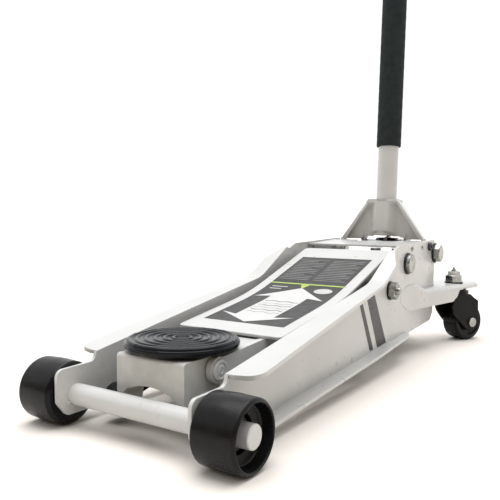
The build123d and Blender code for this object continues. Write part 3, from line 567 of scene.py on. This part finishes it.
def press_depth(x, along):
    """How far the pressed face stands out in front of the handle's axis."""
    edge = face_half(along) - abs(x)
    rim = 10.4 * (1 - step(3.5, 9.5, edge))
    ridge = 13.6 * (1 - step(10, 27, abs(x))) * step(-76, -60, along)
    top = 13.4 * step(-16, -7, along)
    return FACE_DEPTH + max(rim, ridge, top)


bm = bmesh.new()
ROWS, COLUMNS = 44, 90
front_rows, back_rows = [], []
for i in range(ROWS + 1):
    along = FACE_LOW + FACE_HEIGHT * i / ROWS
    half = face_half(along) + 0.4
    front_row, back_row = [], []
    for k in range(COLUMNS + 1):
        x = half * (2 * k / COLUMNS - 1)
        d = press_depth(x, along)
        spot = HANDLE_FOOT + UP * (along * MM) + Vector((x * MM, 0, 0))
        front_row.append(bm.verts.new(spot + FRONT * (d * MM)))
        back_row.append(bm.verts.new(spot + FRONT * ((d - FACE_SHEET) * MM)))
    front_rows.append(front_row)
    back_rows.append(back_row)
for i in range(ROWS):
    for k in range(COLUMNS):
        x = FACE_FOOT_HALF * (2 * (k + 0.5) / COLUMNS - 1)
        if abs(x) < ARCH_HALF and i < ARCH_ROWS - 2.2 * (abs(x) / ARCH_HALF) ** 2:
            continue
        bm.faces.new((front_rows[i][k], front_rows[i][k + 1], front_rows[i + 1][k + 1],
                      front_rows[i + 1][k]))
        bm.faces.new((back_rows[i][k], back_rows[i + 1][k], back_rows[i + 1][k + 1],
                      back_rows[i][k + 1]))
pairs = dict(zip([v for row in front_rows for v in row], [v for row in back_rows for v in row]))
for e in [e for e in bm.edges if len(e.link_faces) == 1 and all(v in pairs for v in e.verts)]:
    a, b = e.verts
    bm.faces.new((a, b, pairs[b], pairs[a]))
for v in [v for v in bm.verts if not v.link_faces]:
    bm.verts.remove(v)
piece("yoke_pressing", bm, "yoke", "white_paint", smooth=60)

# ---------------------------------------------------------------- printed label and stripes
def on_cover(lift):
    """A surface that lies on the arm's cover, raised by lift millimetres."""
    return lambda x, y: P(x, y, cover_z(y) + lift)


LABEL_HALF, LABEL_FRONT, LABEL_REAR, RULE_Y = 60, 187, 450, 350
CUTS = [262 + 7 * k for k in range(16)]


def ink(name, low, high):
    """A printed grey between two tones."""
    return finish_of(name, (low,) * 3, (high,) * 3, (0.3, 0.42), (500, 0.05, 0.0001), 60,
                     specular=0.3)


printed("label_panel", [[(-LABEL_HALF, LABEL_FRONT), (LABEL_HALF, LABEL_FRONT),
                         (LABEL_HALF, LABEL_REAR), (-LABEL_HALF, LABEL_REAR)]],
        on_cover(0.15), ink("panel_ink", 0.014, 0.024), "lift_arm", "black_paint", CUTS)
printed("label_arrow", [[(-56, 223), (0, 191), (54, 223), (28, 216), (28, 303), (54, 298), (0, 339),
                         (-56, 298), (-30, 303), (-30, 216)]], on_cover(0.35),
        ink("arrow_ink", 0.54, 0.58), "lift_arm", "white_paint", CUTS)
waves = []
for row in range(6):
    y0 = 232 + 10 * row
    top = [(-26 + 3 * i, y0 + 1.6 * sin(i * 0.9 + row * 2)) for i in range(18)]
    waves.append(top + [(a, b + (1.4, 2.6)[row % 2]) for a, b in top[::-1]])
for row in range(13):
    for start, end in ((-55, -6 - 16 * (row % 4 == 3)), (2, 54 - 9 * (row % 3 == 1))):
        y0 = 366 + 5.9 * row
        waves.append([(start, y0), (end, y0), (end, y0 + 2.1), (start, y0 + 2.1)])
printed("label_lines", waves, on_cover(0.45), ink("line_ink", 0.14, 0.22), "lift_arm",
        "white_paint", CUTS)
printed("label_rule", [[(-LABEL_HALF, RULE_Y), (LABEL_HALF, RULE_Y),
                        (LABEL_HALF, RULE_Y + 3.4), (-LABEL_HALF, RULE_Y + 3.4)],
                       [(-7, RULE_Y - 0.4), (7, RULE_Y - 0.4), (0, RULE_Y - 14)]], on_cover(0.5),
        finish_of("rule_ink", (0.32, 0.44, 0.06), (0.38, 0.50, 0.09), (0.3, 0.42),
                  (500, 0.05, 0.0001), 60),
        "lift_arm", "white_paint", CUTS)
printed("label_oval", [[(37 + 14 * cos(2 * pi * k / 32), 332 + 9 * sin(2 * pi * k / 32))
                        for k in range(32)],
                       [(-50, 338), (-24, 338), (-24, 340.4), (-50, 340.4)],
                       [(-50, 330), (-30, 330), (-30, 332.4), (-50, 332.4)]], on_cover(0.5),
        ink("oval_ink", 0.42, 0.52), "lift_arm", "white_paint", CUTS)

STRIPE_FINISH = finish_of("stripe_film", (0.006, 0.006, 0.011), (0.014, 0.011, 0.011),
                          (0.2, 0.32), (500, 0.05, 0.0001), 40, specular=0.3)
for x, side in SIDES:
    printed(f"web_stripes_{side}",
            [[(348.2, 126.6), (374, 129.2), (426.9, 40), (393.8, 38)],
             [(323, 122.4), (332.6, 124), (379.4, 38), (367, 37.6)]],
            lambda y, z: P((PLATE_OUT + 0.15) * x, y, z), STRIPE_FINISH, "frame", "black_paint")

# ---------------------------------------------------------------- welds
AXLE_Z, WELD_R = 35, 12.6
bm = bmesh.new()
for x, _ in SIDES:
    for low, high in ((200, 262), (278, 345)):
        arc = [P(88.2 * x, WELD_R * cos(radians(t)), AXLE_Z + WELD_R * sin(radians(t)))
               for t in range(low, high + 1, 6)]
        bead(bm, arc, 1.5)
piece("weld_beads", bm, "frame", "white_paint", smooth=60)

# ---------------------------------------------------------------- floor, light and camera
def floor_material():
    n = Nodes("pale_floor")
    n.link(n.ramp(n.noise(3, 2), (0.3, (0.785, 0.745, 0.70)), (0.7, (0.795, 0.755, 0.71))),
           n.shader.inputs["Base Color"])
    n.set(Roughness=0.9, Specular_IOR_Level=0.1)
    return n.material


bm = bmesh.new()
bmesh.ops.create_grid(bm, x_segments=4, y_segments=4, size=60)
mesh = bpy.data.meshes.new("floor")
bm.to_mesh(mesh)
bm.free()
ground = bpy.data.objects.new("floor", mesh)
mesh.materials.append(floor_material())
bpy.context.scene.collection.objects.link(ground)

sun_data = bpy.data.lights.new("overhead", "SUN")
sun_data.energy = 2.8
sun_data.angle = radians(62)
sun = bpy.data.objects.new("overhead", sun_data)
SUN_RAYS = Vector((0.06, -0.1, -1))
sun.rotation_euler = SUN_RAYS.to_track_quat("-Z", "Y").to_euler()
bpy.context.scene.collection.objects.link(sun)

# The studio is bright behind and above the jack, and dimmer and warmer in front and to the right.
BRIGHT_SIDE = (-0.56, 0.80, 2.2)
STOPS = ((0.0, (0.26, 0.15, 0.07)), (0.3, (0.22, 0.13, 0.06)), (0.64, (0.30, 0.26, 0.21)),
         (0.88, (1.0, 1.0, 1.0)))
world = bpy.data.worlds.new("studio")
world.use_nodes = True
tree = world.node_tree
direction = tree.nodes.new("ShaderNodeTexCoord").outputs["Generated"]
facing = tree.nodes.new("ShaderNodeVectorMath")
facing.operation = "DOT_PRODUCT"
facing.inputs[1].default_value = BRIGHT_SIDE
tree.links.new(direction, facing.inputs[0])
spread = tree.nodes.new("ShaderNodeMapRange")
spread.inputs["From Min"].default_value = -1
spread.inputs["From Max"].default_value = 1
tree.links.new(facing.outputs["Value"], spread.inputs["Value"])
shade = tree.nodes.new("ShaderNodeValToRGB")
elements = shade.color_ramp.elements
while len(elements) < len(STOPS):
    elements.new(0.5)
for element, (position, colour) in zip(elements, STOPS):
    element.position = position
    element.color = (*colour, 1)
tree.links.new(spread.outputs["Result"], shade.inputs["Fac"])
background = tree.nodes["Background"]
tree.links.new(shade.outputs["Color"], background.inputs["Color"])
background.inputs["Strength"].default_value = 1.04
bpy.context.scene.world = world
bpy.context.scene.view_settings.view_transform = "Standard"

camera_data = bpy.data.cameras.new("camera")
camera = bpy.data.objects.new("camera", camera_data)
camera_data.lens = 44.885
camera_data.sensor_width = 36
camera_data.shift_x = 0.023
camera_data.shift_y = 0.0036
camera_data.clip_start = 0.01
camera.location = P(435.03, -443.93, 228.63)
YAW, PITCH = radians(34.91), radians(-3.44)
forward = Vector((-sin(YAW) * cos(PITCH), cos(YAW) * cos(PITCH), sin(PITCH)))
camera.rotation_euler = forward.to_track_quat("-Z", "Y").to_euler()
bpy.context.scene.collection.objects.link(camera)
bpy.context.scene.camera = camera
